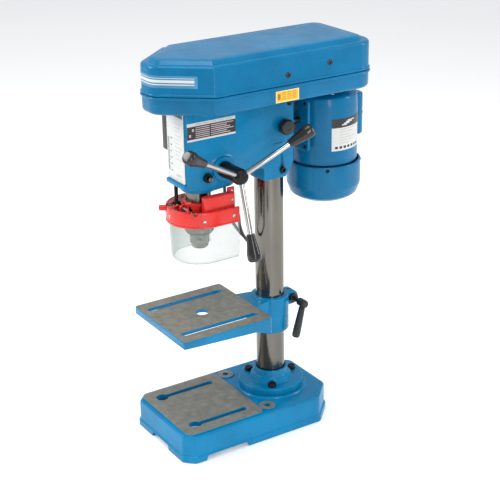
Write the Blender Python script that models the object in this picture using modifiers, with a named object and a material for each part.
"""A five-speed bench drill press, modelled as its separate working parts.

Metres, +Z up. The origin is on the column's axis, in the plane of the bench. The spindle stands
ahead of the column, towards -Y, and the operator's right, where the feed handles are, is +X.
"""

import math

import bmesh
import bpy
from mathutils import Matrix, Vector

# ---- driving dimensions (metres) ----
GAP = 0.0003  # left between neighbours that touch

COLUMN_R = 0.023
COLUMN_TOP = 0.470
SPINDLE_Y = -0.127
MOTOR_Y = 0.105

BASE_HALF = 0.0855
BASE_FRONT = -0.210
BASE_REAR = 0.074
BASE_TOP = 0.046
BASE_WALL = 0.005
BASE_CEILING = 0.006
BOSS_R = 0.020  # the foot under the column, which stands on the bench
BASE_PAD = 0.002  # height of the ground work face above the painted top
BASE_RIM = 0.002
BENCH_HOLE_X = 0.064
BENCH_HOLE_Y = -0.049
FLANGE_FOOT = 0.0490
FLANGE_R = 0.053
FLANGE_TOP = 0.060
FLANGE_PCD_R = 0.041
FLANGE_BOLT_R = 0.0040

TABLE_HALF = 0.080
TABLE_FRONT = -0.205
TABLE_REAR = -0.047
TABLE_TOP = 0.209
TABLE_PLATE = 0.008
SLOT_X = 0.053
COLLAR_R = 0.0305
COLLAR_LOW = 0.150
CLAMP_Y = 0.0375
CLAMP_Z = 0.196
CLAMP_STUD_R = 0.0040
CLAMP_HOLE_R = CLAMP_STUD_R + GAP

HEAD_HALF = 0.028
HEAD_FRONT = -0.162
HEAD_REAR = 0.031
HEAD_LOW = 0.4145
LIP_LOW = 0.4255
HEAD_TOP = 0.5457
QUILL_LOCK_Z = 0.4395
COLUMN_LOCK = (0.006, 0.4270)  # the (y, z) of the screw that locks the head to the column

QUILL_R = 0.0195
QUILL_BORE = 0.0198
QUILL_LOW = 0.372
QUILL_HIGH = 0.512
SPINDLE_R = 0.0063

PINION_TEETH = 14
MODULE = 0.00125
PINION_R = PINION_TEETH * MODULE / 2
RACK_LINE = SPINDLE_Y + 0.0178  # pitch line of the rack along the quill's back
FEED_Y = RACK_LINE + PINION_R
FEED_Z = 0.450
FEED_SHAFT_R = 0.007
HUB_R = 0.0125
HUB_START = 0.0345
HUB_END = 0.0890
SPOKE_X = 0.0790
SPOKE_REACH = 0.128
SPOKE_LEAN = math.radians(15)
SPOKE_ANGLES = [math.radians(a) for a in (151, 31, 271)]  # from +Y towards +Z
ROD_R = 0.004
GRIP_LENGTH = 0.042

CHUCK_TOP = 0.3660
CHUCK_NOSE = 0.3210
SLEEVE_R = 0.0225
SLEEVE_LOW = 0.3445
JAW_LEAN = math.radians(15)

GUARD_HALF = 0.0500
GUARD_REAR = -0.085
APRON_LOW = 0.368
APRON_TOP = 0.392
SHIELD_R = 0.0462
SHIELD_LOW = 0.307
HINGE_Y = -0.156
HINGE_Z = 0.390
STOP_ROD = (-0.019, -0.1545)

HOUSING_HALF = 0.077
HOUSING_REAR = 0.149
HOUSING_CORNER = 0.032
HOUSING_CREASE_Y = -0.139
HOUSING_NOSE = (0.018, -0.208)
HOUSING_LOW = 0.546
SEAM_Z = 0.574
COVER_TOP = 0.624
SHEET = 0.0018
BEAD = 0.0025
HINGE_X = -HOUSING_HALF - BEAD - 0.0035

PULLEY_STEPS = [0.020, 0.025, 0.030, 0.035, 0.040]
STEP_HEIGHT = 0.011
PULLEY_LOW = 0.5560
GROOVE = 0.007
BELT_R = 0.0026
BELT_PITCH_R = PULLEY_STEPS[2] - GROOVE + 0.0050  # the belt runs on the middle steps

MOTOR_R = 0.0535
MOTOR_WALL = 0.0025
MOTOR_SHAFT_R = 0.0070
ROTOR_R = 0.0330
CORE_LOW = 0.4400
CORE_TOP = 0.4950
MOTOR_LOW = 0.4135
MOTOR_TOP = 0.534
BELL_R = 0.059
BELL_LOW = 0.358
SLIDE_Z = 0.496
SLIDE_X = 0.016
SLIDE_R = 0.005
KNOB_Y = 0.0095

GUARD_CABLE_R = 0.0025
GUARD_CABLE_KNOTS = [
    (0.0370, -0.0840, 0.3810),
    (0.0370, -0.0790, 0.3720),
    (0.0360, -0.0770, 0.3560),
    (0.0310, -0.0690, 0.3380),
    (0.0200, -0.0540, 0.3200),
    (0.0020, -0.0410, 0.3110),
    (-0.0200, -0.0420, 0.3180),
    (-0.0360, -0.0510, 0.3420),
    (-0.0400, -0.0560, 0.3800),
    (-0.0380, -0.0580, 0.4300),
    (-0.0360, -0.0620, 0.4750),
    (-0.0365, -0.0780, 0.5000),
    (-0.0370, -0.0960, 0.5060),
    (-0.0370, -0.1120, 0.5060),
]


# ---- scene and materials ----
def clear_scene():
    for old in list(bpy.data.objects):
        bpy.data.objects.remove(old, do_unlink=True)


def new_collection(name):
    made = bpy.data.collections.new(name)
    bpy.context.scene.collection.children.link(made)
    return made


def paint(name, colour, roughness, metallic=0.0, alpha=1.0):
    made = bpy.data.materials.new(name)
    made.use_nodes = True
    shader = made.node_tree.nodes["Principled BSDF"]
    shader.inputs["Base Color"].default_value = (*colour, 1.0)
    shader.inputs["Roughness"].default_value = roughness
    shader.inputs["Metallic"].default_value = metallic
    shader.inputs["Alpha"].default_value = alpha
    made.diffuse_color = (*colour, alpha)
    return made


clear_scene()
PARTS = new_collection("bench_drill_press")
CUTTERS = new_collection("cutters")

BLUE = paint("blue_paint", (0.0, 0.15, 0.38), 0.28)
STEEL = paint("bright_steel", (0.62, 0.61, 0.59), 0.22, 1.0)
CHROME = paint("chrome", (0.80, 0.80, 0.80), 0.08, 1.0)
BLACK = paint("black_plastic", (0.012, 0.012, 0.012), 0.42)
OXIDE = paint("black_oxide", (0.02, 0.02, 0.02), 0.4, 0.8)
RED = paint("red_plastic", (0.72, 0.03, 0.02), 0.25)
GREEN = paint("green_plastic", (0.02, 0.28, 0.06), 0.35)
CLEAR = paint("clear_plastic", (0.85, 0.90, 0.88), 0.05, 0.0, 0.25)
RUBBER = paint("belt_rubber", (0.015, 0.015, 0.015), 0.7)
ALLOY = paint("cast_alloy", (0.55, 0.56, 0.57), 0.35, 1.0)
COPPER = paint("winding_copper", (0.60, 0.25, 0.10), 0.35, 1.0)
WHITE = paint("white_plate", (0.80, 0.80, 0.78), 0.35)


# ---- modelling helpers ----
def add(name, mesh, look, place=Matrix.Identity(4)):
    """An object for a mesh; one without a look is a cutter, and is left out of the model."""
    made = bpy.data.objects.new(name, mesh)
    made.matrix_world = place
    if look is None:
        CUTTERS.objects.link(made)
        made.hide_render = True
        made.display_type = "WIRE"
    else:
        PARTS.objects.link(made)
        mesh.materials.append(look)
        mesh.shade_smooth()
        mesh.set_sharp_from_angle(angle=math.radians(35))
    return made


def bevelled(made, width, segments=1):
    if width > 0:
        edge = made.modifiers.new("edges", "BEVEL")
        edge.width = width
        edge.segments = segments
        edge.limit_method = "ANGLE"
        edge.angle_limit = math.radians(50)
    return made


def box(name, low, high, look=None, bevel=0.0, segments=1):
    low, high = Vector(low), Vector(high)
    mesh = bpy.data.meshes.new(name)
    shape = bmesh.new()
    bmesh.ops.create_cube(shape, size=1.0, matrix=Matrix.Diagonal((*(high - low), 1.0)))
    shape.to_mesh(mesh)
    shape.free()
    made = add(name, mesh, look, Matrix.Translation((low + high) / 2))
    return bevelled(made, bevel, segments)


def along(start, end):
    """The placing that turns local +Z to run from start to end, about their middle."""
    start, end = Vector(start), Vector(end)
    turn = (end - start).to_track_quat("Z", "Y").to_matrix().to_4x4()
    return Matrix.Translation((start + end) / 2) @ turn


def rod(name, start, end, radius, look=None, sides=20, end_radius=None, bevel=0.0):
    mesh = bpy.data.meshes.new(name)
    shape = bmesh.new()
    length = (Vector(end) - Vector(start)).length
    bmesh.ops.create_cone(
        shape,
        cap_ends=True,
        segments=sides,
        radius1=radius,
        radius2=radius if end_radius is None else end_radius,
        depth=length,
    )
    shape.to_mesh(mesh)
    shape.free()
    return bevelled(add(name, mesh, look, along(start, end)), bevel)


def turned(name, profile, look=None, steps=24, origin=(0, 0, 0), direction=(0, 0, 1)):
    """A solid of revolution from (radius, height) points that run down its outer side.

    A profile that starts and ends on the axis is solid; any other is closed into a ring.
    """
    mesh = bpy.data.meshes.new(name)
    shape = bmesh.new()
    points = [shape.verts.new((radius, 0, height)) for radius, height in profile]
    for first, second in zip(points, points[1:]):
        shape.edges.new((first, second))
    if profile[0][0] > 0:
        shape.edges.new((points[-1], points[0]))
    shape.to_mesh(mesh)
    shape.free()
    turn = Vector(direction).to_track_quat("Z", "Y").to_matrix().to_4x4()
    made = add(name, mesh, look, Matrix.Translation(origin) @ turn)
    screw = made.modifiers.new("turn", "SCREW")
    screw.steps = screw.render_steps = steps
    screw.use_merge_vertices = True
    screw.merge_threshold = 0.00001
    screw.use_smooth_shade = True
    return made


def plate(name, outline, low, high, look=None, bevel=0.0, segments=1, facing="Z"):
    """A flat outline given thickness from low to high along the axis that it faces.

    Outlines facing Z are (x, y), those facing X are (y, z) and those facing Y are (x, z).
    """
    curve = bpy.data.curves.new(name, "CURVE")
    curve.dimensions = "2D"
    curve.fill_mode = "BOTH"
    curve.extrude = (high - low) / 2
    spline = curve.splines.new("POLY")
    spline.points.add(len(outline) - 1)
    for point, (first, second) in zip(spline.points, outline):
        point.co = (first, second, 0, 1)
    spline.use_cyclic_u = True
    drawn = bpy.data.objects.new(name + "_outline", curve)
    bpy.context.scene.collection.objects.link(drawn)
    seen = drawn.evaluated_get(bpy.context.evaluated_depsgraph_get())
    mesh = bpy.data.meshes.new_from_object(seen)
    bpy.data.objects.remove(drawn, do_unlink=True)
    shape = bmesh.new()
    shape.from_mesh(mesh)
    bmesh.ops.remove_doubles(shape, verts=shape.verts, dist=0.00001)
    bmesh.ops.dissolve_limit(shape, angle_limit=0.01, verts=shape.verts, edges=shape.edges)
    bmesh.ops.recalc_face_normals(shape, faces=shape.faces)
    shape.to_mesh(mesh)
    shape.free()
    mesh.name = name
    middle = (low + high) / 2
    turn = {
        "Z": Matrix.Translation((0, 0, middle)),
        "X": Matrix.Translation((middle, 0, 0)) @ Matrix(((0, 0, 1), (1, 0, 0), (0, 1, 0))).to_4x4(),
        "Y": Matrix.Translation((0, middle, 0)) @ Matrix(((1, 0, 0), (0, 0, -1), (0, 1, 0))).to_4x4(),
    }[facing]
    return bevelled(add(name, mesh, look, turn), bevel, segments)


def cord(name, points, radius, look, cyclic=False, resolution=2):
    """A round cord through its points, as a tube with filled ends."""
    curve = bpy.data.curves.new(name, "CURVE")
    curve.dimensions = "3D"
    curve.bevel_depth = radius
    curve.bevel_resolution = resolution
    curve.use_fill_caps = not cyclic
    spline = curve.splines.new("POLY")
    spline.points.add(len(points) - 1)
    for point, place in zip(spline.points, points):
        point.co = (*place, 1)
    spline.use_cyclic_u = cyclic
    made = bpy.data.objects.new(name, curve)
    PARTS.objects.link(made)
    curve.materials.append(look)
    return made


def combine(target, operation, others):
    for other in others:
        step = target.modifiers.new(operation.lower() + "_" + other.name, "BOOLEAN")
        step.operation = operation
        step.object = other
    return target


def cut(target, *others):
    return combine(target, "DIFFERENCE", others)


def join(target, *others):
    return combine(target, "UNION", others)


# ---- outlines ----
def arc(centre, radius, start, end, steps):
    """Points on an arc, with angles in degrees."""
    angles = [math.radians(start + (end - start) * i / steps) for i in range(steps + 1)]
    return [(centre[0] + radius * math.cos(a), centre[1] + radius * math.sin(a)) for a in angles]


def rounded(corners, steps=3):
    """A closed outline through (x, y, radius) corners, each rounded by an arc."""
    outline = []
    count = len(corners)
    for i, (x, y, radius) in enumerate(corners):
        here = Vector((x, y))
        if radius <= 0:
            outline.append((x, y))
            continue
        before = (Vector(corners[i - 1][:2]) - here).normalized()
        after = (Vector(corners[(i + 1) % count][:2]) - here).normalized()
        half = before.angle(after) / 2
        centre = here + (before + after).normalized() * radius / math.sin(half)
        first = here + before * radius / math.tan(half) - centre
        last = here + after * radius / math.tan(half) - centre
        sweep = first.angle_signed(last)
        for step in range(steps + 1):
            spoke = first.copy()
            spoke.rotate(Matrix.Rotation(-sweep * step / steps, 2))
            outline.append(tuple(centre + spoke))
    return outline


def rectangle(low, high, radius=0.0, steps=3):
    (x0, y0), (x1, y1) = low, high
    return rounded([(x0, y0, radius), (x1, y0, radius), (x1, y1, radius), (x0, y1, radius)], steps)


def base_outline(grow):
    """The base's plan, grown outwards: small corners in front, large ones behind."""
    half, front, rear = BASE_HALF + grow, BASE_FRONT - grow, BASE_REAR + grow
    small, large = 0.016, 0.036
    right = [
        (half - small, front, 0.008),
        (half, front + small, 0.008),
        (half, rear - large, 0.012),
        (half - large, rear, 0.012),
    ]
    left = [(-x, y, radius) for x, y, radius in reversed(right)]
    return rounded(right + left, 2)


def housing_outline(half):
    """The belt housing's plan: two flat cheeks that meet in a blunt nose, and a squarer rear end."""
    inset = HOUSING_HALF - half
    rear = HOUSING_REAR - inset
    crease = HOUSING_CREASE_Y + 0.368 * inset
    nose_x = HOUSING_NOSE[0] - 0.462 * inset
    nose_y = HOUSING_NOSE[1] + inset
    crease_radius = max(0.006 - inset, 0.002)
    right = [
        (nose_x, nose_y, 0.024 - inset),
        (half, crease, crease_radius),
        (half, rear, HOUSING_CORNER - inset),
    ]
    return rounded(right + [(-x, y, radius) for x, y, radius in reversed(right)], 5)


def horseshoe(outer, thickness, rear):
    """A band round the front of the spindle that is open at the rear."""
    inner = outer - thickness
    front = arc((0, SPINDLE_Y), outer, 180, 360, 20)
    back = arc((0, SPINDLE_Y), inner, 360, 180, 20)
    return [(-outer, rear)] + front + [(outer, rear), (inner, rear)] + back + [(-inner, rear)]


def spline_route(knots, per_span=2):
    """A smooth (Catmull-Rom) route through hand-placed knots."""
    knots = [Vector(knot) for knot in knots]
    padded = [2 * knots[0] - knots[1]] + knots + [2 * knots[-1] - knots[-2]]
    route = []
    for a, b, c, d in zip(padded, padded[1:], padded[2:], padded[3:]):
        for step in range(per_span):
            t = step / per_span
            route.append(
                0.5 * (2 * b + (c - a) * t + (2 * a - 5 * b + 4 * c - d) * t**2
                       + (3 * b - a - 3 * c + d) * t**3)
            )
    return route + [knots[-1]]


# ---- base and column ----
def build_base():
    base = plate("base_casting", base_outline(0), 0, BASE_TOP, BLUE)
    rim = plate("base_rim", base_outline(BASE_RIM), 0, 0.012)
    work_face = plate(
        "base_work_face",
        rectangle((-0.0795, BASE_FRONT + 0.006), (0.0795, -0.062), 0.012),
        BASE_TOP - 0.003,
        BASE_TOP + BASE_PAD,
    )
    pad_foot, pad_top = BASE_TOP - 0.002, BASE_TOP + BASE_PAD
    ears = [
        rod(f"bolt_ear_{i}", (x, BENCH_HOLE_Y, pad_foot), (x, BENCH_HOLE_Y, pad_top), 0.0135, sides=16)
        for i, x in enumerate((-BENCH_HOLE_X, BENCH_HOLE_X))
    ]
    seat = rod("flange_seat", (0, 0, BASE_TOP - 0.002), (0, 0, FLANGE_FOOT - GAP), 0.060, sides=28)
    join(base, rim, work_face, *ears, seat)
    hollow = plate("base_hollow", base_outline(-BASE_WALL), -0.005, BASE_TOP - BASE_CEILING)
    column_boss = rod("column_boss", (0, 0, -0.010), (0, 0, BASE_TOP), BOSS_R)
    cut(hollow, column_boss)
    cut(base, hollow)
    feet = [
        box("front_arch", (-0.025, -0.230, -0.005), (0.025, -0.190, 0.009)),
        box("side_arch", (-0.100, -0.175, -0.005), (0.100, -0.100, 0.009)),
    ]
    cut(base, *feet)
    for i, x in enumerate((-SLOT_X, SLOT_X)):
        slot = box(f"base_slot_{i}", (x - 0.0045, -0.177, 0.020), (x + 0.0045, -0.083, 0.060))
        eye = rod(f"base_eye_{i}", (x, -0.177, 0.020), (x, -0.177, 0.060), 0.010, sides=16)
        cut(base, slot, eye)
    for i, x in enumerate((-BENCH_HOLE_X, BENCH_HOLE_X)):
        hole = rod(f"bench_hole_{i}", (x, BENCH_HOLE_Y, 0.020), (x, BENCH_HOLE_Y, 0.060), 0.005, sides=12)
        cut(base, hole)
    return base


def flange_spots():
    return [
        (FLANGE_PCD_R * math.cos(a), FLANGE_PCD_R * math.sin(a))
        for a in (math.radians(90), math.radians(210), math.radians(330))
    ]


def build_column(base):
    flange = turned(
        "column_flange",
        [
            (0.0270, 0.080),
            (0.0280, 0.079),
            (0.0280, 0.068),
            (0.0330, 0.066),
            (0.0335, FLANGE_TOP),
            (FLANGE_R - 0.001, FLANGE_TOP),
            (FLANGE_R, FLANGE_TOP - 0.001),
            (FLANGE_R, FLANGE_FOOT),
            (COLUMN_R + GAP, FLANGE_FOOT),
            (COLUMN_R + GAP, 0.080),
        ],
        BLUE,
        30,
    )
    for i, (x, y) in enumerate(flange_spots(), 1):
        hole = rod(f"flange_hole_{i}", (x, y, 0.030), (x, y, 0.070), FLANGE_BOLT_R + GAP, sides=14)
        cut(flange, hole)
        cut(base, hole)
        foot, crown = FLANGE_TOP + GAP, FLANGE_TOP + 0.0065
        bolt = rod(f"flange_bolt_{i}", (x, y, foot), (x, y, crown), 0.0068, OXIDE, 6)
        join(bolt, rod(f"flange_shank_{i}", (x, y, 0.034), (x, y, foot + 0.002), FLANGE_BOLT_R, sides=10))
    turned(
        "column_tube",
        [
            (COLUMN_R, COLUMN_TOP),
            (COLUMN_R, FLANGE_FOOT),
            (COLUMN_R - 0.0025, FLANGE_FOOT),
            (COLUMN_R - 0.0025, COLUMN_TOP),
        ],
        STEEL,
        36,
    )


# ---- table ----
def build_table():
    low = TABLE_TOP - TABLE_PLATE
    table = plate(
        "table_casting",
        rectangle((-TABLE_HALF, TABLE_FRONT), (TABLE_HALF, TABLE_REAR), 0.004, 2),
        low,
        TABLE_TOP,
        BLUE,
    )
    side = [
        (TABLE_FRONT, low + 0.002),
        (TABLE_FRONT, 0.197),
        (-0.077, 0.191),
        (TABLE_REAR, 0.182),
        (TABLE_REAR, low + 0.002),
    ]
    wall = 0.006
    skirts = [
        plate("table_side_left", side, -TABLE_HALF, wall - TABLE_HALF, facing="X"),
        plate("table_side_right", side, TABLE_HALF - wall, TABLE_HALF, facing="X"),
        box("table_front_wall", (-0.077, TABLE_FRONT, 0.197), (0.077, TABLE_FRONT + wall, low + 0.002)),
        box("table_rear_wall", (-0.077, TABLE_REAR - wall, 0.182), (0.077, TABLE_REAR, low + 0.002)),
        rod("table_hole_boss", (0, SPINDLE_Y, 0.196), (0, SPINDLE_Y, low + 0.002), 0.0165),
    ]
    join(table, *skirts)
    for i, x in enumerate((-SLOT_X, SLOT_X)):
        outline = rectangle((x - 0.0055, -0.195), (x + 0.0055, -0.059), 0.0054)
        cut(table, plate(f"table_slot_{i}", outline, 0.190, 0.220))
    cut(table, rod("table_hole", (0, SPINDLE_Y, 0.180), (0, SPINDLE_Y, 0.220), 0.0105))
    build_table_collar()


def build_table_collar():
    """The column clamp that the table's casting runs into, split at the back between two ears."""
    collar = rod("table_collar", (0, 0, COLLAR_LOW), (0, 0, TABLE_TOP + 0.001), COLLAR_R, BLUE, 32)
    arm_rear, arm_front, arm_top = -0.020, TABLE_REAR + GAP, TABLE_TOP - 0.0005
    arm = [(arm_front, 0.183), (arm_rear, 0.156), (arm_rear, arm_top), (arm_front, arm_top)]
    join(
        collar,
        plate("table_arm", arm, -0.022, 0.022, facing="X"),
        box("clamp_ears", (-0.010, 0.020, CLAMP_Z - 0.012), (0.010, CLAMP_Y + 0.011, CLAMP_Z + 0.012)),
    )
    cut(
        collar,
        rod("collar_bore", (0, 0, 0.140), (0, 0, 0.220), COLUMN_R + GAP, sides=36),
        box("collar_split", (-0.0015, 0.010, 0.140), (0.0015, 0.060, 0.220)),
        rod("clamp_hole", (-0.020, CLAMP_Y, CLAMP_Z), (0.020, CLAMP_Y, CLAMP_Z), CLAMP_HOLE_R, sides=12),
    )

    def across(name, start, end, radius, look=None, sides=16):
        return rod(name, (start, CLAMP_Y, CLAMP_Z), (end, CLAMP_Y, CLAMP_Z), radius, look, sides)

    lever = across("table_clamp_lever", -0.022, 0.040, CLAMP_STUD_R, BLACK, 12)
    elbow = Vector((0.040, CLAMP_Y, CLAMP_Z))
    tip = elbow + Vector((0.002, -0.016, -0.055))
    join(
        lever,
        across("lever_thrust", 0.0104, 0.0165, 0.0075),
        across("lever_boss", 0.0300, 0.0465, 0.0066),
        rod("lever_handle", elbow, tip, 0.0050, end_radius=0.0065, sides=16),
    )
    nut = across("table_clamp_nut", -0.0170, -0.0103, 0.0075, OXIDE, 6)
    cut(nut, across("clamp_nut_thread", -0.020, -0.005, CLAMP_HOLE_R, sides=12))


# ---- head ----
def build_head():
    side = rounded(
        [
            (HEAD_FRONT, HEAD_TOP, 0),
            (HEAD_FRONT, LIP_LOW, 0.003),
            (-0.120, 0.4168, 0.006),
            (-0.086, 0.4195, 0.005),
            (-0.062, 0.434, 0.010),
            (-0.026, 0.436, 0),
            (-0.026, 0.414, 0),
            (0.014, 0.414, 0.004),
            (HEAD_REAR, 0.440, 0.006),
            (HEAD_REAR, HEAD_TOP, 0),
        ],
        3,
    )
    head = plate("head_casting", side, -HEAD_HALF, HEAD_HALF, BLUE, bevel=0.003, facing="X")
    boss_x = HUB_START - GAP
    gib_at = (SPINDLE_Y, QUILL_LOCK_Z)
    join(
        head,
        rod("head_column_boss", (0, 0, 0.4142), (0, 0, COLUMN_TOP), 0.0300, sides=28),
        rod("feed_boss", (0.010, FEED_Y, FEED_Z), (boss_x, FEED_Y, FEED_Z), 0.0185, sides=24),
        rod("spring_seat", (-boss_x, FEED_Y, FEED_Z), (-0.010, FEED_Y, FEED_Z), 0.0235, sides=24),
        rod("quill_boss", (0, SPINDLE_Y, HEAD_LOW), (0, SPINDLE_Y, 0.4400), 0.0262, sides=28),
        box("front_lip", (-0.0275, HEAD_FRONT - 0.0045, LIP_LOW), (0.0275, -0.150, 0.4335), bevel=0.003),
    )
    cut(
        head,
        rod("quill_bore", (0, SPINDLE_Y, 0.400), (0, SPINDLE_Y, 0.560), QUILL_BORE, sides=28),
        rod("column_socket", (0, 0, 0.400), (0, 0, COLUMN_TOP + GAP), COLUMN_R + GAP, sides=36),
        box("head_hollow", (-0.022, -0.097, COLUMN_TOP), (0.022, 0.024, 0.560)),
        box("head_pocket", (-0.022, -0.085, 0.443), (0.022, -0.029, COLUMN_TOP + 0.001)),
        rod("feed_bore", (-0.012, FEED_Y, FEED_Z), (0.050, FEED_Y, FEED_Z), 0.0105, sides=20),
        rod("feed_tail_bore", (-0.050, FEED_Y, FEED_Z), (0, FEED_Y, FEED_Z), FEED_SHAFT_R + GAP, sides=16),
        rod("lock_screw_hole", (0, *gib_at), (0.040, *gib_at), 0.0043, sides=12),
        rod("stop_rod_hole", (*STOP_ROD, 0.400), (*STOP_ROD, 0.440), 0.0034, sides=12),
        box("stop_window", (-0.040, -0.1605, 0.436), (-0.0115, -0.1485, 0.530)),
        rod("column_screw_hole", (0.010, *COLUMN_LOCK), (0.040, *COLUMN_LOCK), 0.0033, sides=12),
        rod("knob_hole", (0.018, KNOB_Y, SLIDE_Z), (0.040, KNOB_Y, SLIDE_Z), 0.0043, sides=12),
    )
    for i, x in enumerate((-SLIDE_X, SLIDE_X)):
        cut(head, rod(f"slide_hole_{i}", (x, 0.010, SLIDE_Z), (x, 0.050, SLIDE_Z), SLIDE_R + GAP, sides=16))

    lock_end, shank_start = 0.0345, COLUMN_R + GAP
    lock = rod("head_lock_screw", (0.0303, *COLUMN_LOCK), (lock_end, *COLUMN_LOCK), 0.0048, OXIDE, 14)
    join(lock, rod("head_lock_shank", (shank_start, *COLUMN_LOCK), (0.0320, *COLUMN_LOCK), 0.0030, sides=10))
    gib = rod("quill_lock_screw", (HEAD_HALF + GAP, *gib_at), (0.0345, *gib_at), 0.0080, OXIDE, 6)
    join(gib, rod("quill_lock_shank", (QUILL_R + 0.0006, *gib_at), (0.0400, *gib_at), 0.0040, sides=14))
    plate(
        "depth_scale_plate",
        rectangle((-0.0240, 0.4340), (0.0250, 0.5430), 0.003, 2),
        HEAD_FRONT - 0.0015,
        HEAD_FRONT - GAP,
        WHITE,
        facing="Y",
    )


# ---- quill, spindle and chuck ----
def rack_cutter():
    """A comb of rack teeth: what it leaves standing on the quill meshes with the pinion."""
    pitch = math.pi * MODULE
    backlash = 0.00045
    top, bottom = RACK_LINE + 0.0040, RACK_LINE - 1.35 * MODULE
    slope = math.tan(math.radians(20))
    half_gap = pitch / 4 + backlash / 2
    outline = []
    for i in range(-2, 15):
        middle = FEED_Z + i * pitch
        deep = half_gap - slope * (RACK_LINE - bottom)
        wide = min(half_gap + slope * MODULE * 0.9, pitch / 2 - 0.00015)
        crest = RACK_LINE + MODULE * 0.9
        outline += [
            (crest, middle - wide),
            (bottom, middle - deep),
            (bottom, middle + deep),
            (crest, middle + wide),
        ]
    outline += [(top, outline[-1][1]), (top, outline[0][1])]
    return plate("rack_comb", outline, -0.0120, 0.0120, facing="X")


def build_quill():
    low, high = QUILL_LOW, QUILL_HIGH
    pocket, through = 0.0153, 0.0095
    quill = turned(
        "quill",
        [
            (QUILL_R - 0.0007, high),
            (QUILL_R, high - 0.0007),
            (QUILL_R, low + 0.0007),
            (QUILL_R - 0.0007, low),
            (pocket, low),
            (pocket, low + 0.014),
            (through, low + 0.014),
            (through, high - 0.014),
            (pocket, high - 0.014),
            (pocket, high),
        ],
        STEEL,
        28,
        origin=(0, SPINDLE_Y, 0),
    )
    cut(quill, rack_cutter())
    for name, z in (("quill_bearing_lower", low + 0.002), ("quill_bearing_upper", high - 0.0135)):
        ring(name, (0, SPINDLE_Y, z), 0.0115, SPINDLE_R + GAP, pocket - GAP, STEEL)
    turned(
        "spindle",
        [
            (0, 0.612),
            (SPINDLE_R - 0.0005, 0.612),
            (SPINDLE_R, 0.6115),
            (SPINDLE_R, 0.3718),
            (0.0110, 0.3716),
            (0.0110, 0.3664),
            (SPINDLE_R, 0.3662),
            (SPINDLE_R - 0.0004, 0.3535),
            (0, 0.3535),
        ],
        STEEL,
        20,
        origin=(0, SPINDLE_Y, 0),
    )


def ring(name, foot, height, inner, outer, look, steps=16, direction=(0, 0, 1)):
    return turned(
        name,
        [(outer, height), (outer, 0), (inner, 0), (inner, height)],
        look,
        steps,
        origin=foot,
        direction=direction,
    )


def jaw_place(angle):
    """The placing of a jaw: local +Z runs up its own sloping slideway."""
    lean = Matrix.Rotation(JAW_LEAN, 4, "Y")
    out = Matrix.Translation((0.0085, 0, 0.3375))
    return Matrix.Translation((0, SPINDLE_Y, 0)) @ Matrix.Rotation(angle, 4, "Z") @ out @ lean


def build_chuck():
    body = turned(
        "chuck_body",
        [
            (0, CHUCK_TOP - GAP),
            (0.0145, CHUCK_TOP - GAP),
            (0.0150, CHUCK_TOP - 0.001),
            (0.0150, CHUCK_NOSE + 0.006),
            (0.0125, CHUCK_NOSE),
            (0, CHUCK_NOSE),
        ],
        STEEL,
        24,
        origin=(0, SPINDLE_Y, 0),
    )
    cut(
        body,
        rod("taper_hole", (0, SPINDLE_Y, 0.3530), (0, SPINDLE_Y, 0.370), SPINDLE_R + GAP, sides=18),
        rod("drill_hole", (0, SPINDLE_Y, 0.310), (0, SPINDLE_Y, 0.3500), 0.0068, sides=16),
    )
    for i in range(3):
        angle = math.radians(120 * i + 30)
        place = jaw_place(angle)
        slot = box(f"jaw_slot_{i}", (-0.0030, -0.0025, -0.0300), (0.0030, 0.0025, 0.0115))
        slot.matrix_world = place @ slot.matrix_world
        cut(body, slot)
        jaw = box(f"chuck_jaw_{i + 1}", (-0.0026, -0.0021, -0.0110), (0.0026, 0.0021, 0.0110), STEEL, 0.0004)
        jaw.matrix_world = place @ jaw.matrix_world
    for i in range(3):
        angle = math.radians(120 * i + 90)
        away = Vector((math.cos(angle), math.sin(angle), 0))
        foot = Vector((0, SPINDLE_Y, 0.3385))
        cut(body, rod(f"key_hole_{i}", foot + away * 0.0105, foot + away * 0.020, 0.0028, sides=10))
    turned(
        "chuck_sleeve",
        [
            (SLEEVE_R - 0.001, CHUCK_TOP - 0.001),
            (SLEEVE_R, CHUCK_TOP - 0.002),
            (SLEEVE_R, SLEEVE_LOW + 0.004),
            (SLEEVE_R - 0.0035, SLEEVE_LOW),
            (0.0154, SLEEVE_LOW),
            (0.0154, CHUCK_TOP - 0.001),
        ],
        STEEL,
        28,
        origin=(0, SPINDLE_Y, 0),
    )


# ---- feed ----
def pinion_outline():
    """Straight-sided teeth that roll on the rack with a little backlash."""
    outline = []
    step = 2 * math.pi / PINION_TEETH
    crest, root = PINION_R + 0.85 * MODULE, PINION_R - 1.2 * MODULE
    half_crest, half_root = 0.00032, 0.00125
    for i in range(PINION_TEETH):
        middle = math.pi + i * step  # one tooth points at the rack
        tooth = ((root, -half_root), (crest, -half_crest), (crest, half_crest), (root, half_root))
        for radius, half in tooth:
            angle = middle + half / radius
            outline.append((FEED_Y + radius * math.cos(angle), FEED_Z + radius * math.sin(angle)))
    return outline


def spoke_direction(angle):
    flat = math.cos(SPOKE_LEAN)
    return Vector((math.sin(SPOKE_LEAN), flat * math.cos(angle), flat * math.sin(angle)))


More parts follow.
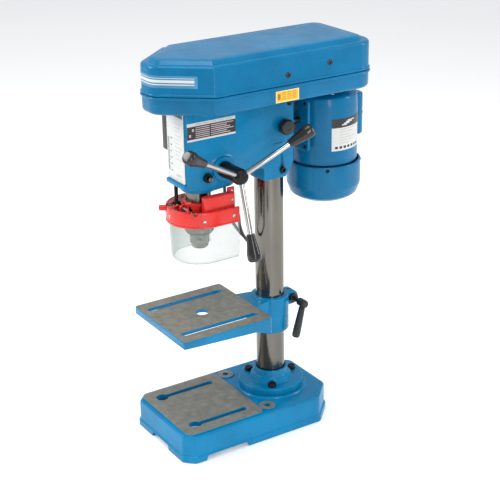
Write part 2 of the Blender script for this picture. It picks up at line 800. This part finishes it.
def build_feed():
    centre = (FEED_Y, FEED_Z)
    shaft = rod("feed_shaft", (-0.0460, *centre), (0.0580, *centre), FEED_SHAFT_R, STEEL, 16)
    join(shaft, plate("pinion_teeth", pinion_outline(), -0.0100, 0.0100, facing="X"))
    ring("feed_bush", (0.0145, *centre), 0.0190, FEED_SHAFT_R + GAP, 0.0102, ALLOY, 16, (1, 0, 0))

    length = HUB_END - HUB_START
    hub = turned(
        "feed_hub",
        [
            (0, length),
            (0.0060, length - 0.0008),
            (0.0105, length - 0.0040),
            (HUB_R, length - 0.0090),
            (HUB_R, 0.0010),
            (HUB_R - 0.0010, 0),
            (FEED_SHAFT_R + GAP, 0),
            (FEED_SHAFT_R + GAP, 0.0245),
            (0, 0.0245),
        ],
        BLACK,
        24,
        origin=(HUB_START, *centre),
        direction=(1, 0, 0),
    )
    middle = Vector((SPOKE_X, *centre))
    for i, angle in enumerate(SPOKE_ANGLES, 1):
        away = spoke_direction(angle)
        root, seat = middle + away * 0.0066, middle + away * 0.0062
        cut(hub, rod(f"spoke_hole_{i}", seat, middle + away * 0.020, ROD_R + GAP, sides=12))
        rod(f"handle_rod_{i}", root, middle + away * (SPOKE_REACH - 0.012), ROD_R, CHROME, 14)
        turned(
            f"handle_grip_{i}",
            [
                (0, GRIP_LENGTH),
                (0.0080, GRIP_LENGTH - 0.0010),
                (0.0108, GRIP_LENGTH - 0.0045),
                (0.0112, GRIP_LENGTH - 0.0090),
                (0.0065, 0.0020),
                (0.0060, 0),
                (ROD_R + GAP, 0),
                (ROD_R + GAP, GRIP_LENGTH - 0.0117),
                (0, GRIP_LENGTH - 0.0117),
            ],
            BLACK,
            16,
            origin=middle + away * (SPOKE_REACH - GRIP_LENGTH),
            direction=away,
        )

    ring("return_spring", (-0.0370, *centre), 0.0085, 0.0086, 0.0200, STEEL, 20, (-1, 0, 0))
    turned(
        "spring_housing",
        [
            (0, 0.0175),
            (0.0215, 0.0175),
            (0.0235, 0.0150),
            (0.0235, 0),
            (0.0210, 0),
            (0.0210, 0.0140),
            (0, 0.0140),
        ],
        BLACK,
        24,
        origin=(-HUB_START, *centre),
        direction=(-1, 0, 0),
    )


# ---- depth stop and guard ----
def build_depth_stop():
    rod("depth_stop_rod", (*STOP_ROD, 0.3720), (*STOP_ROD, 0.5080), 0.0030, OXIDE, 16)
    nut = rod("depth_stop_nut", (*STOP_ROD, 0.4865), (*STOP_ROD, 0.4965), 0.0052, OXIDE, 12)
    cut(nut, rod("stop_nut_thread", (*STOP_ROD, 0.480), (*STOP_ROD, 0.500), 0.0033, sides=12))


def build_guard():
    bracket = rod("guard_bracket", (0, SPINDLE_Y, 0.3760), (0, SPINDLE_Y, 0.3980), 0.0245, RED, 24)
    arms = [
        box("stop_arm", (-0.0250, -0.1600, 0.3765), (-0.0125, -0.1350, 0.3865), bevel=0.001),
        box("switch_arm", (0.0100, -0.1500, 0.3765), (0.0300, -0.1050, 0.3860), bevel=0.001),
        box("pin_ear_left", (-0.0020, HINGE_Y - 0.0045, 0.3765), (0.0030, -0.1400, HINGE_Z + 0.0045)),
        box("pin_ear_right", (0.0195, HINGE_Y - 0.0045, 0.3765), (0.0240, -0.1420, HINGE_Z + 0.0045)),
    ]
    join(bracket, *arms)
    cut(
        bracket,
        rod("bracket_bore", (0, SPINDLE_Y, 0.370), (0, SPINDLE_Y, 0.405), QUILL_BORE, sides=24),
        rod("bracket_stop_hole", (*STOP_ROD, 0.370), (*STOP_ROD, 0.395), 0.0033, sides=12),
        rod("bracket_pin_hole", (-0.030, HINGE_Y, HINGE_Z), (0.050, HINGE_Y, HINGE_Z), 0.0028, sides=12),
    )
    rod("guard_hinge_pin", (-0.0130, HINGE_Y, HINGE_Z), (0.0302, HINGE_Y, HINGE_Z), 0.0025, CHROME, 12)

    frame = plate("guard_frame", horseshoe(GUARD_HALF, 0.0035, GUARD_REAR), APRON_LOW, APRON_TOP, RED)
    left_tab = rod("finger_tab", (-0.0285, -0.1650, 0.3830), (-0.0365, -0.1755, 0.3830), 0.0045, sides=12)
    webs = [
        box("web_left", (-0.0090, -0.1760, HINGE_Z - 0.0080), (-0.0040, HINGE_Y + 0.0042, APRON_TOP)),
        box("web_right", (0.0252, -0.1700, HINGE_Z - 0.0080), (0.0298, HINGE_Y + 0.0042, APRON_TOP)),
    ]
    clear_front = plate("web_trim", horseshoe(0.060, 0.060 - GUARD_HALF + 0.001, -0.120), 0.360, 0.400)
    for web in webs:
        cut(web, clear_front)
    join(frame, left_tab, *webs)
    stop_notch = (-0.0250, -0.1800, APRON_TOP - 0.008), (-0.0130, -0.1560, 0.400)
    cut(
        frame,
        rod("frame_pin_hole", (-0.030, HINGE_Y, HINGE_Z), (0.050, HINGE_Y, HINGE_Z), 0.0028, sides=12),
        box("frame_notch", *stop_notch),
    )
    bend = horseshoe(SHIELD_R, 0.0020, GUARD_REAR + 0.002)
    shield = plate("guard_shield", bend, SHIELD_LOW, APRON_TOP - 0.001, CLEAR)
    for i, x in enumerate((-0.0065, 0.0275)):
        low = (x - 0.0030, -0.1800, HINGE_Z - 0.0085)
        cut(shield, box(f"web_room_{i}", low, (x + 0.0030, -0.1500, 0.400)))
    cut(shield, box("shield_notch", *stop_notch))

    switch = box("guard_switch_box", (0.0305, -0.1400, 0.3720), (0.0418, -0.0870, 0.4130), RED, 0.0015)
    join(switch, box("switch_lug", (0.0305, -0.0955, 0.4050), (0.0345, -0.0835, 0.4190), bevel=0.001))

    cord("guard_cable", spline_route(GUARD_CABLE_KNOTS), GUARD_CABLE_R, BLACK)


# ---- belt drive ----
def stepped_profile(radii, sleeve_low, bore):
    """A V-belt pulley of several steps, from the top radius to the bottom one."""
    profile = []
    top = PULLEY_LOW + len(radii) * STEP_HEIGHT
    for i, radius in enumerate(radii):
        high = top - i * STEP_HEIGHT
        low = high - STEP_HEIGHT
        profile += [(radius, high), (radius - GROOVE, (high + low) / 2), (radius, low)]
    if sleeve_low < PULLEY_LOW:
        profile += [(0.0118, PULLEY_LOW), (0.0118, sleeve_low)]
    return profile + [(bore, sleeve_low), (bore, top)]


def build_belt_drive():
    turned(
        "spindle_pulley",
        stepped_profile(PULLEY_STEPS[::-1], 0.5225, SPINDLE_R + GAP),
        ALLOY,
        20,
        origin=(0, SPINDLE_Y, 0),
    )
    ring("pulley_bearing", (0, SPINDLE_Y, 0.5245), 0.0140, 0.0118 + GAP, QUILL_BORE - GAP, STEEL)
    motor_steps = stepped_profile(PULLEY_STEPS, PULLEY_LOW, MOTOR_SHAFT_R + GAP)
    turned("motor_pulley", motor_steps, ALLOY, 20, origin=(0, MOTOR_Y, 0))
    belt_z = PULLEY_LOW + 2.5 * STEP_HEIGHT
    nose = arc((0, SPINDLE_Y), BELT_PITCH_R, 180, 360, 10)
    tail = arc((0, MOTOR_Y), BELT_PITCH_R, 0, 180, 10)
    cord("drive_belt", [(x, y, belt_z) for x, y in nose + tail], BELT_R, RUBBER, cyclic=True)


def build_housing():
    tray = plate("belt_housing", housing_outline(HOUSING_HALF), HOUSING_LOW, SEAM_Z - GAP, BLUE)
    rim = plate("tray_rim", housing_outline(HOUSING_HALF + BEAD), SEAM_Z - 0.0045, SEAM_Z - GAP)
    join(tray, rim)
    slot = rectangle((-0.0110, MOTOR_Y - 0.028), (0.0110, MOTOR_Y + 0.012), 0.0100)
    cut(
        tray,
        plate("tray_hollow", housing_outline(HOUSING_HALF - SHEET), HOUSING_LOW + SHEET, 0.600),
        rod("tray_spindle_hole", (0, SPINDLE_Y, 0.540), (0, SPINDLE_Y, 0.560), 0.0190, sides=24),
        plate("tray_motor_slot", slot, 0.540, 0.560),
    )

    shoulder = COVER_TOP - 0.006
    cover = plate("belt_cover", housing_outline(HOUSING_HALF), SEAM_Z, shoulder, BLUE, 0.0045, 2)
    lip_outline = housing_outline(HOUSING_HALF + BEAD - 0.0005)
    crown_outline = housing_outline(HOUSING_HALF - 0.012)
    join(
        cover,
        plate("cover_lip", lip_outline, SEAM_Z, SEAM_Z + 0.0035),
        plate("cover_crown", crown_outline, shoulder - 0.004, COVER_TOP, bevel=0.003),
    )
    cut(
        cover,
        plate("cover_hollow", housing_outline(HOUSING_HALF - SHEET), 0.560, shoulder - 0.006),
        plate("crown_hollow", housing_outline(HOUSING_HALF - 0.016), 0.600, COVER_TOP - SHEET),
    )

    hinge = rod("cover_hinge", (HINGE_X, -0.070, SEAM_Z), (HINGE_X, 0.070, SEAM_Z), 0.0030, BLUE, 14)
    join(
        hinge,
        box("hinge_leaf", (HINGE_X - 0.0015, -0.070, 0.5600), (HINGE_X + 0.0015, 0.070, SEAM_Z - 0.0020)),
        box("hinge_foot", (HINGE_X, -0.070, 0.5600), (-HOUSING_HALF - GAP, 0.070, 0.5690)),
    )


# ---- motor ----
def build_motor():
    at = (0, MOTOR_Y, 0)
    turned(
        "motor_body",
        [
            (0.0200, MOTOR_TOP + 0.004),
            (0.0215, MOTOR_TOP + 0.001),
            (MOTOR_R - 0.006, MOTOR_TOP),
            (MOTOR_R, MOTOR_TOP - 0.006),
            (MOTOR_R, MOTOR_LOW),
            (MOTOR_R - MOTOR_WALL, MOTOR_LOW),
            (MOTOR_R - MOTOR_WALL, MOTOR_TOP - 0.007),
            (0.0085, MOTOR_TOP - 0.004),
            (0.0085, MOTOR_TOP + 0.004),
        ],
        BLUE,
        28,
        origin=at,
    )
    turned(
        "motor_end_bell",
        [
            (BELL_R - 0.001, MOTOR_LOW - 0.0012),
            (BELL_R, MOTOR_LOW - 0.0030),
            (BELL_R, 0.3880),
            (0.0565, 0.3760),
            (0.0500, 0.3660),
            (0.0380, 0.3595),
            (0, BELL_LOW),
            (0, BELL_LOW + 0.0030),
            (0.0480, 0.3690),
            (0.0560, 0.3880),
            (0.0560, MOTOR_LOW - 0.0012),
        ],
        BLUE,
        28,
        origin=at,
    )
    turned(
        "motor_rotor",
        [
            (0, 0.606),
            (MOTOR_SHAFT_R, 0.606),
            (MOTOR_SHAFT_R, CORE_TOP),
            (ROTOR_R, CORE_TOP),
            (ROTOR_R, CORE_LOW),
            (MOTOR_SHAFT_R, CORE_LOW),
            (MOTOR_SHAFT_R, 0.3850),
            (0, 0.3850),
        ],
        STEEL,
        20,
        origin=at,
    )
    winding_r = MOTOR_R - MOTOR_WALL - 0.0004
    ring("motor_stator", (0, MOTOR_Y, CORE_LOW), CORE_TOP - CORE_LOW, ROTOR_R + 0.0006, winding_r, COPPER, 24)


def build_motor_mount():
    mount = plate(
        "motor_mount",
        rectangle((-0.0400, 0.4480), (0.0400, 0.5330), 0.008, 2),
        HEAD_REAR + 0.0155,
        MOTOR_Y - MOTOR_R - GAP,
        BLUE,
        facing="Y",
    )
    for i, x in enumerate((-SLIDE_X, SLIDE_X)):
        inner, outer = (x, -0.030, SLIDE_Z), (x, HEAD_REAR + 0.018, SLIDE_Z)
        join(mount, rod(f"slide_rod_{i}", inner, outer, SLIDE_R, sides=14))
    capacitor = box("capacitor_box", (-0.0320, 0.1400, 0.4520), (0.0180, 0.1740, 0.5200), BLUE, 0.003)
    saddle_r = MOTOR_R + GAP
    cut(capacitor, rod("capacitor_saddle", (0, MOTOR_Y, 0.440), (0, MOTOR_Y, 0.530), saddle_r, sides=40))


def build_tension_knob():
    def along_x(name, start, end, radius, look=None, sides=14, bevel=0.0):
        return rod(name, (start, KNOB_Y, SLIDE_Z), (end, KNOB_Y, SLIDE_Z), radius, look, sides, bevel=bevel)

    knob = along_x("tension_knob", HEAD_HALF + 0.004, 0.0430, 0.0125, BLACK, 16, 0.0015)
    neck = along_x("knob_neck", HEAD_HALF + GAP, 0.0340, 0.0070)
    stud = along_x("knob_stud", SLIDE_X + SLIDE_R + GAP, 0.0340, 0.0040)
    join(knob, neck, stud)


# ---- switch ----
def build_switch():
    low, high = (-0.0460, -0.1600, 0.4720), (-HEAD_HALF - GAP, -0.1130, 0.5340)
    switch = box("switch_box", low, high, BLACK, 0.002)
    start, stop = (-0.1400, 0.4840), (-0.1400, 0.5060)
    for name, (y, z), radius in (("start", start, 0.0078), ("stop", stop, 0.0098)):
        hole = rod(f"{name}_button_hole", (-0.060, y, z), (-0.0380, y, z), radius + GAP, sides=16)
        cut(switch, hole)
    rod("start_button", (-0.0500, *start), (-0.0425, *start), 0.0078, GREEN, 16, bevel=0.001)
    stop_button = rod("stop_button", (-0.0540, *stop), (-0.0435, *stop), 0.0098, RED, 16)
    join(stop_button, rod("stop_cap", (-0.0600, *stop), (-0.0535, *stop), 0.0118, sides=16, bevel=0.002))
    turned(
        "cable_gland",
        [
            (0.0048, 0.0150),
            (0.0055, 0.0040),
            (0.0062, 0.0040),
            (0.0062, 0),
            (0.0030, 0),
            (0.0030, 0.0150),
        ],
        BLACK,
        14,
        origin=(-0.0370, -0.1127, 0.4800),
        direction=(0, 1, 0),
    )


# ---- joint axes ----
FIXED = ("quill_lock_screw",)  # stays on the head, although its name begins as the quill's does
PIVOTS = {
    "quill_axis": (
        (0, SPINDLE_Y, QUILL_LOW),
        ["quill", "quill_bearing", "depth_stop", "guard_bracket", "guard_hinge_pin", "guard_switch_box"],
    ),
    "spindle_axis": ((0, SPINDLE_Y, CHUCK_TOP), ["spindle", "chuck"]),
    "pulley_axis": ((0, SPINDLE_Y, PULLEY_LOW), ["spindle_pulley"]),
    "motor_axis": ((0, MOTOR_Y, MOTOR_LOW), ["motor_rotor", "motor_pulley"]),
    "feed_axis": ((0, FEED_Y, FEED_Z), ["feed_shaft", "feed_hub", "handle"]),
    "guard_axis": ((0, HINGE_Y, HINGE_Z), ["guard_frame", "guard_shield"]),
    "cover_axis": ((HINGE_X, 0, SEAM_Z), ["belt_cover"]),
    "clamp_axis": ((0, CLAMP_Y, CLAMP_Z), ["table_clamp_lever"]),
    "table_axis": ((0, 0, TABLE_TOP), ["table_casting", "table_collar", "table_clamp_nut"]),
    "knob_axis": ((HEAD_HALF, KNOB_Y, SLIDE_Z), ["tension_knob"]),
    "slide_axis": (
        (0, HEAD_REAR, SLIDE_Z),
        ["motor_mount", "motor_body", "motor_end_bell", "motor_stator", "capacitor_box"],
    ),
}


def add_pivots():
    """Each moving piece hangs from an empty on its joint's axis."""
    bpy.context.view_layer.update()
    for name, (place, prefixes) in PIVOTS.items():
        pivot = bpy.data.objects.new(name, None)
        pivot.location = place
        pivot.empty_display_size = 0.02
        PARTS.objects.link(pivot)
        bpy.context.view_layer.update()
        for piece in list(PARTS.objects):
            if piece.type == "EMPTY" or piece.parent or piece.name.startswith(FIXED):
                continue
            if piece.name.startswith(tuple(prefixes)):
                piece.parent = pivot
                piece.matrix_parent_inverse = pivot.matrix_world.inverted()


def build():
    build_column(build_base())
    build_table()
    build_head()
    build_quill()
    build_chuck()
    build_feed()
    build_depth_stop()
    build_guard()
    build_belt_drive()
    build_housing()
    build_motor()
    build_motor_mount()
    build_tension_knob()
    build_switch()
    add_pivots()


build()
